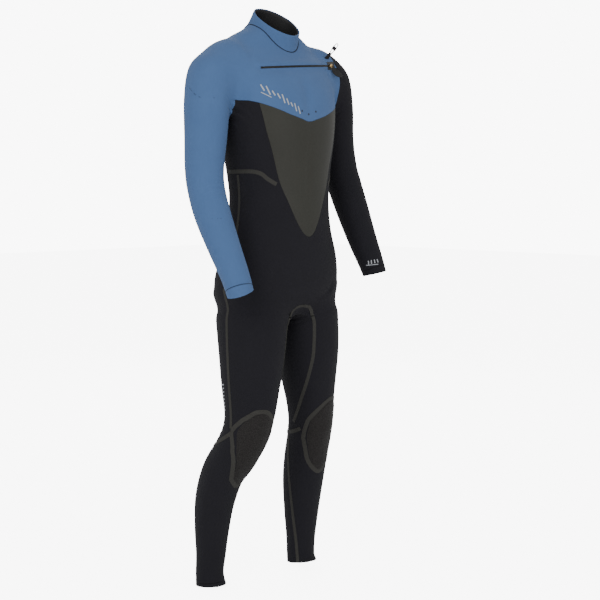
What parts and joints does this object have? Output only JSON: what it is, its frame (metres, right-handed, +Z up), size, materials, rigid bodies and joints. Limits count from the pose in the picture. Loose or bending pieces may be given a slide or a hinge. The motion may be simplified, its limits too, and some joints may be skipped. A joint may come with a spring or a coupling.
{
  "type": "full wetsuit",
  "caption": "Full-length chest-zip wetsuit with tall collar, long sleeves and legs, smooth belly panel, taped seams, padded knees and a neck drawcord; limbs bend and the zip runs.",
  "frame": {"origin": "centre of the neck base, where the wearer's shoulders or a hanger carry the suit", "axes": "+Z up towards the head, -Y towards the suit's front, +X towards the wearer's left"},
  "size_m": [0.577, 0.2921, 1.4421],
  "materials": {
    "blue_neoprene": "matt stretch jersey laminated on neoprene foam, slate blue",
    "black_neoprene": "matt stretch jersey laminated on neoprene foam, near black",
    "smooth_neoprene": "smooth-skin neoprene, dark olive grey with a soft sheen",
    "collar_lining": "thin smooth-skin lining, black",
    "barrier_lining": "thin stretch jersey, black",
    "zip_tape": "woven tape, black",
    "zip_teeth": "moulded plastic teeth, black",
    "slider_brass": "bare brass, slightly dulled",
    "pull_rubber": "moulded rubber tab, black",
    "cord": "braided elastic cord and webbing, black",
    "cord_lock": "moulded plastic, black",
    "knee_pad": "embossed abrasion-resistant rubberised fabric, black",
    "seam_tape": "glued stretch seam tape, dark warm grey"
  },
  "bodies": {
    "torso": {"collar": "blue_neoprene", "collar_lining": "collar_lining", "shoulder_yoke": "blue_neoprene", "upper_back_panel": "blue_neoprene", "chest_panel": "blue_neoprene", "belly_panel": "smooth_neoprene", "right_front_panel": "black_neoprene", "left_front_panel": "black_neoprene", "right_side_panel": "black_neoprene", "left_side_panel": "black_neoprene", "back_panel": "black_neoprene", "seat_panel": "black_neoprene", "chest_barrier": "barrier_lining", "right_shoulder_panel": "blue_neoprene", "left_shoulder_panel": "black_neoprene", "right_hip_panel": "black_neoprene", "left_hip_panel": "black_neoprene", "crotch_gusset": "black_neoprene", "zip_tape_upper": "zip_tape", "zip_tape_lower": "zip_tape", "zip_teeth_upper": "zip_teeth", "zip_teeth_lower": "zip_teeth", "zip_stops": "zip_teeth", "cord_tab": "cord", "cord_loop": "cord", "right_waist_tape": "seam_tape", "left_waist_tape": "seam_tape"},
    "zip_runner": {"zip_slider": "slider_brass"},
    "pull_tab": {"zip_pull": "pull_rubber"},
    "cord_toggle": {"cord_lock": "cord_lock"},
    "right_upper_arm": {"right_upper_sleeve": "blue_neoprene", "right_elbow_panel": "blue_neoprene"},
    "right_forearm": {"right_forearm_sleeve": "blue_neoprene", "right_wrist_cuff": "blue_neoprene"},
    "right_thigh": {"right_thigh_panel": "black_neoprene", "right_knee_panel": "black_neoprene", "right_knee_pad": "knee_pad", "right_knee_tape": "seam_tape", "right_leg_outer_tape": "seam_tape"},
    "right_shin": {"right_calf_panel": "black_neoprene", "right_ankle_cuff": "black_neoprene", "right_leg_inner_tape": "seam_tape"},
    "left_upper_arm": {"left_upper_sleeve": "black_neoprene", "left_elbow_panel": "black_neoprene"},
    "left_forearm": {"left_forearm_sleeve": "black_neoprene", "left_wrist_cuff": "black_neoprene"},
    "left_thigh": {"left_thigh_panel": "black_neoprene", "left_knee_panel": "black_neoprene", "left_knee_pad": "knee_pad", "left_knee_tape": "seam_tape", "left_leg_outer_tape": "seam_tape"},
    "left_shin": {"left_calf_panel": "black_neoprene", "left_ankle_cuff": "black_neoprene", "left_leg_inner_tape": "seam_tape"}
  },
  "joints": [
    {"name": "right_shoulder", "type": "hinge", "parent": "torso", "child": "right_upper_arm", "pos_m": [-0.188, 0.028, -0.1], "axis": [-1, 0, 0], "range_deg": [-20, 40], "stiffness_Nm_per_rad": 3, "deforming": ["right_shoulder_panel"]},
    {"name": "left_shoulder", "type": "hinge", "parent": "torso", "child": "left_upper_arm", "pos_m": [0.188, 0.014, -0.1], "axis": [-1, 0, 0], "range_deg": [-30, 35], "stiffness_Nm_per_rad": 3, "deforming": ["left_shoulder_panel"]},
    {"name": "right_elbow", "type": "hinge", "parent": "right_upper_arm", "child": "right_forearm", "pos_m": [-0.236, 0.004, -0.37], "axis": [-1, 0, 0], "range_deg": [-20, 50], "stiffness_Nm_per_rad": 2, "deforming": ["right_elbow_panel"]},
    {"name": "left_elbow", "type": "hinge", "parent": "left_upper_arm", "child": "left_forearm", "pos_m": [0.242, -0.008, -0.37], "axis": [-1, 0, 0], "range_deg": [-15, 55], "stiffness_Nm_per_rad": 2, "deforming": ["left_elbow_panel"]},
    {"name": "right_hip", "type": "hinge", "parent": "torso", "child": "right_thigh", "pos_m": [-0.092, 0.004, -0.62], "axis": [-1, 0, 0], "range_deg": [-12, 30], "stiffness_Nm_per_rad": 8, "deforming": ["right_hip_panel", "crotch_gusset", "right_leg_outer_tape"]},
    {"name": "left_hip", "type": "hinge", "parent": "torso", "child": "left_thigh", "pos_m": [0.092, 0.004, -0.62], "axis": [-1, 0, 0], "range_deg": [-12, 30], "stiffness_Nm_per_rad": 8, "deforming": ["left_hip_panel", "crotch_gusset", "left_leg_outer_tape"]},
    {"name": "right_knee", "type": "hinge", "parent": "right_thigh", "child": "right_shin", "pos_m": [-0.13, 0.006, -1], "axis": [1, 0, 0], "range_deg": [-15, 50], "stiffness_Nm_per_rad": 4, "deforming": ["right_knee_panel", "right_knee_pad", "right_knee_tape", "right_leg_outer_tape"]},
    {"name": "left_knee", "type": "hinge", "parent": "left_thigh", "child": "left_shin", "pos_m": [0.131, 0.016, -1], "axis": [1, 0, 0], "range_deg": [-8, 55], "stiffness_Nm_per_rad": 4, "deforming": ["left_knee_panel", "left_knee_pad", "left_knee_tape", "left_leg_outer_tape"]},
    {"name": "zip_travel", "type": "hinge", "parent": "torso", "child": "zip_runner", "pos_m": [0, 0.361, -0.075], "axis": [-0.0819, 0, 0.9966], "range_deg": [-33.5, 0]},
    {"name": "pull_swing", "type": "hinge", "parent": "zip_runner", "child": "pull_tab", "pos_m": [0.14342, -0.04993, -0.06321], "axis": [-0.9406, -0.3305, -0.0773], "range_deg": [0, 110]},
    {"name": "cord_lock_slide", "type": "slide", "parent": "torso", "child": "cord_toggle", "axis": [0.4568, -0.4067, 0.7912], "range_m": [-0.007, 0.004]}
  ]
}
